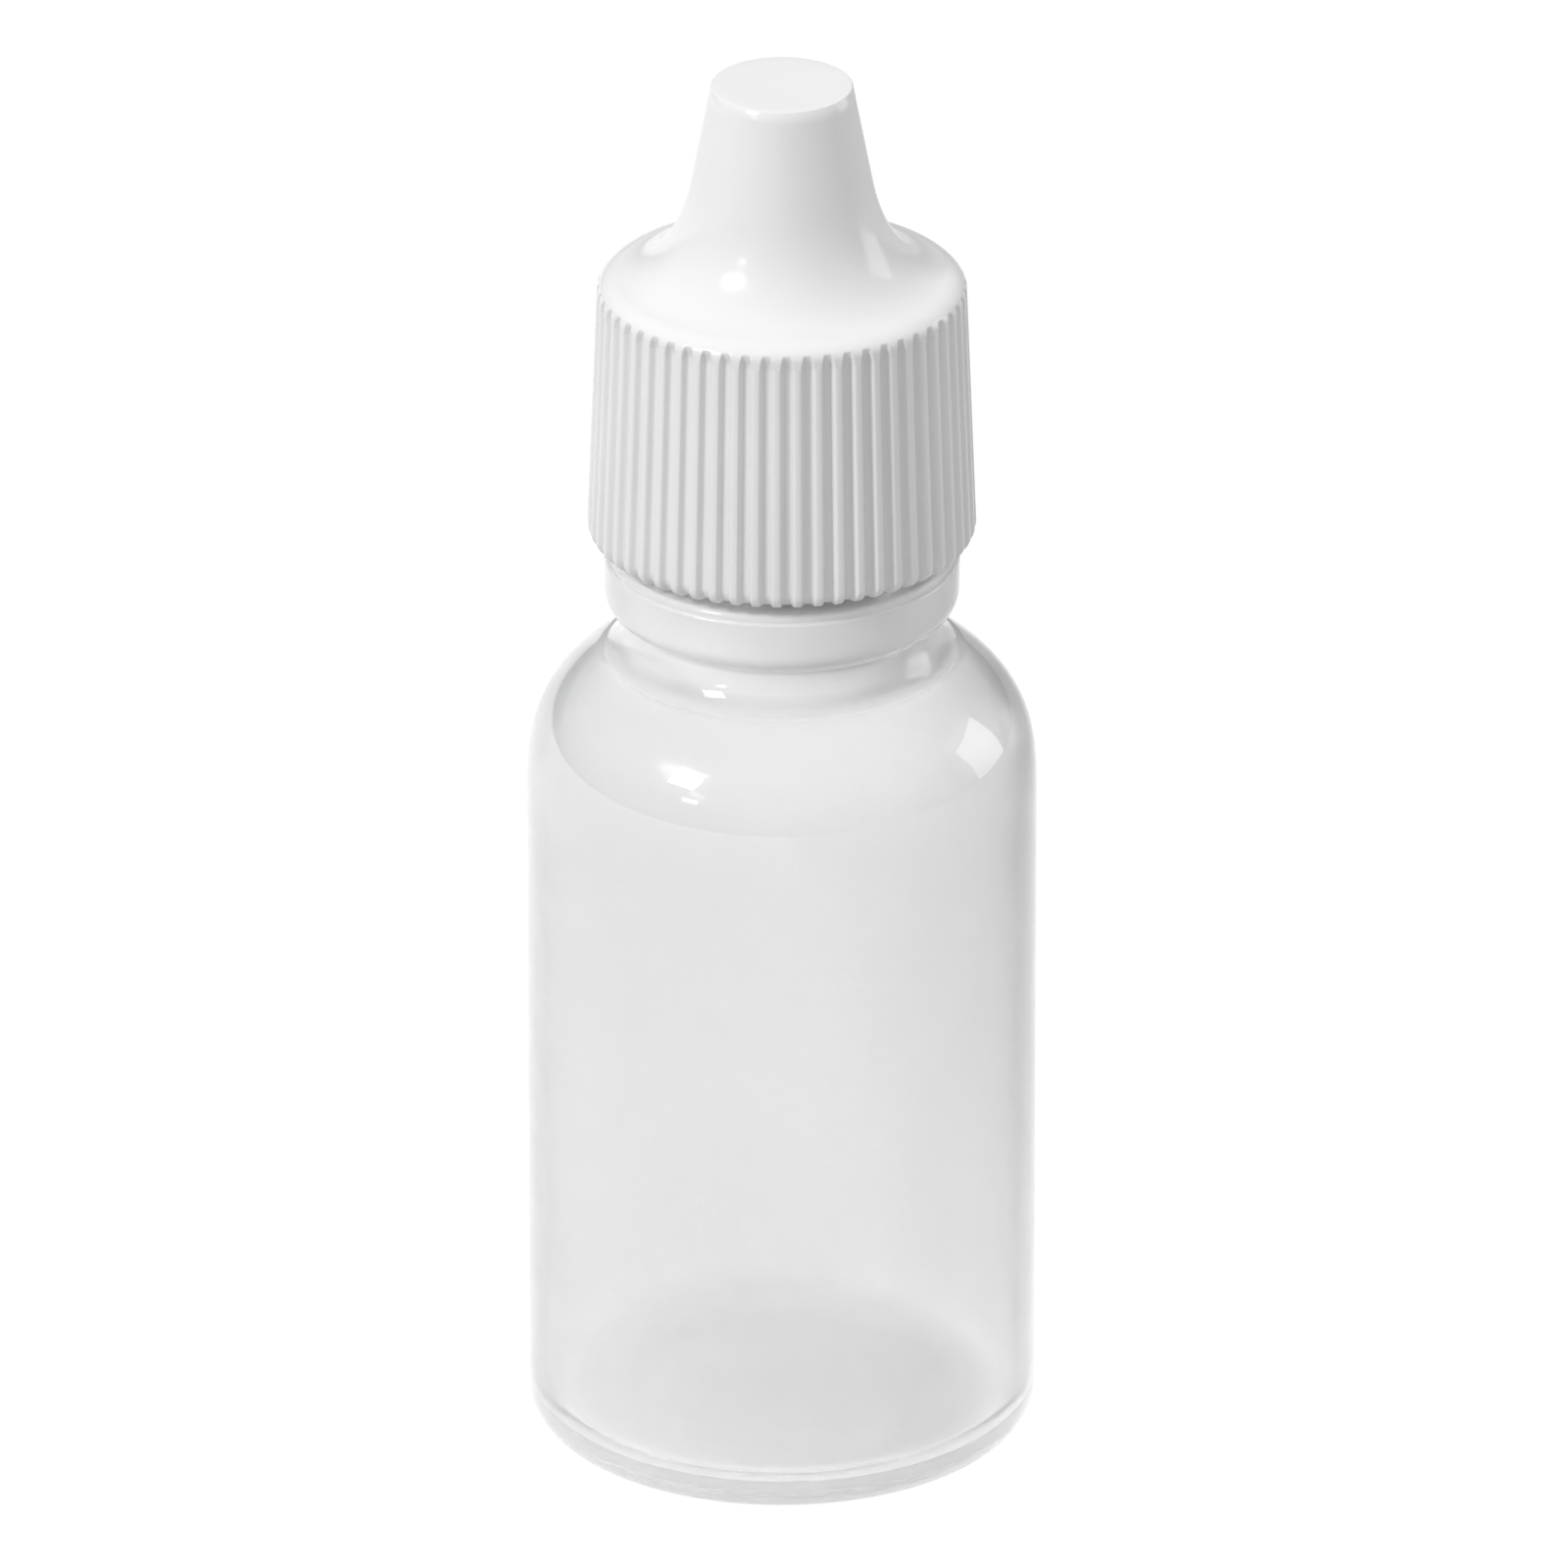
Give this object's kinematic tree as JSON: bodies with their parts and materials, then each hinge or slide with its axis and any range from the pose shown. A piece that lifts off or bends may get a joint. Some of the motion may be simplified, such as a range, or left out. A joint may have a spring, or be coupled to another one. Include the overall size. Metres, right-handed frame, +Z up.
{
  "type": "dropper bottle",
  "caption": "Small translucent squeezable dropper bottle with a round shoulder, a dropper tip in its neck and a ribbed white screw cap with a spire.",
  "frame": {"origin": "middle of the base, on the surface the bottle stands on", "axes": "+Z up along the bottle's axis; the body is round, and -Y is the side that faces the reference view"},
  "size_m": [0.025, 0.025, 0.0713],
  "materials": {
    "bottle_ldpe": "natural low-density polyethylene, smooth and glossy outside, milky and see-through",
    "tip_ldpe": "natural low-density polyethylene, translucent, smooth",
    "cap_white": "white polypropylene, polished mould finish"
  },
  "bodies": {
    "bottle": {"bottle": "bottle_ldpe"},
    "dropper_tip": {"dropper_tip": "tip_ldpe"},
    "screw_cap": {"screw_cap": "cap_white"}
  },
  "joints": [
    {"name": "cap_turn", "type": "hinge", "parent": "bottle", "child": "dropper_tip", "pos_m": [0, 0, 0.0592], "axis": [0, 0, 1], "range_deg": [0, 4082]},
    {"name": "cap_rise", "type": "slide", "parent": "dropper_tip", "child": "screw_cap", "axis": [0, 0, 1], "range_m": [0, 0.024]}
  ],
  "couplings": [
    {"joint": "cap_turn", "follows": "cap_rise", "rad_per_m": 2968.4}
  ]
}
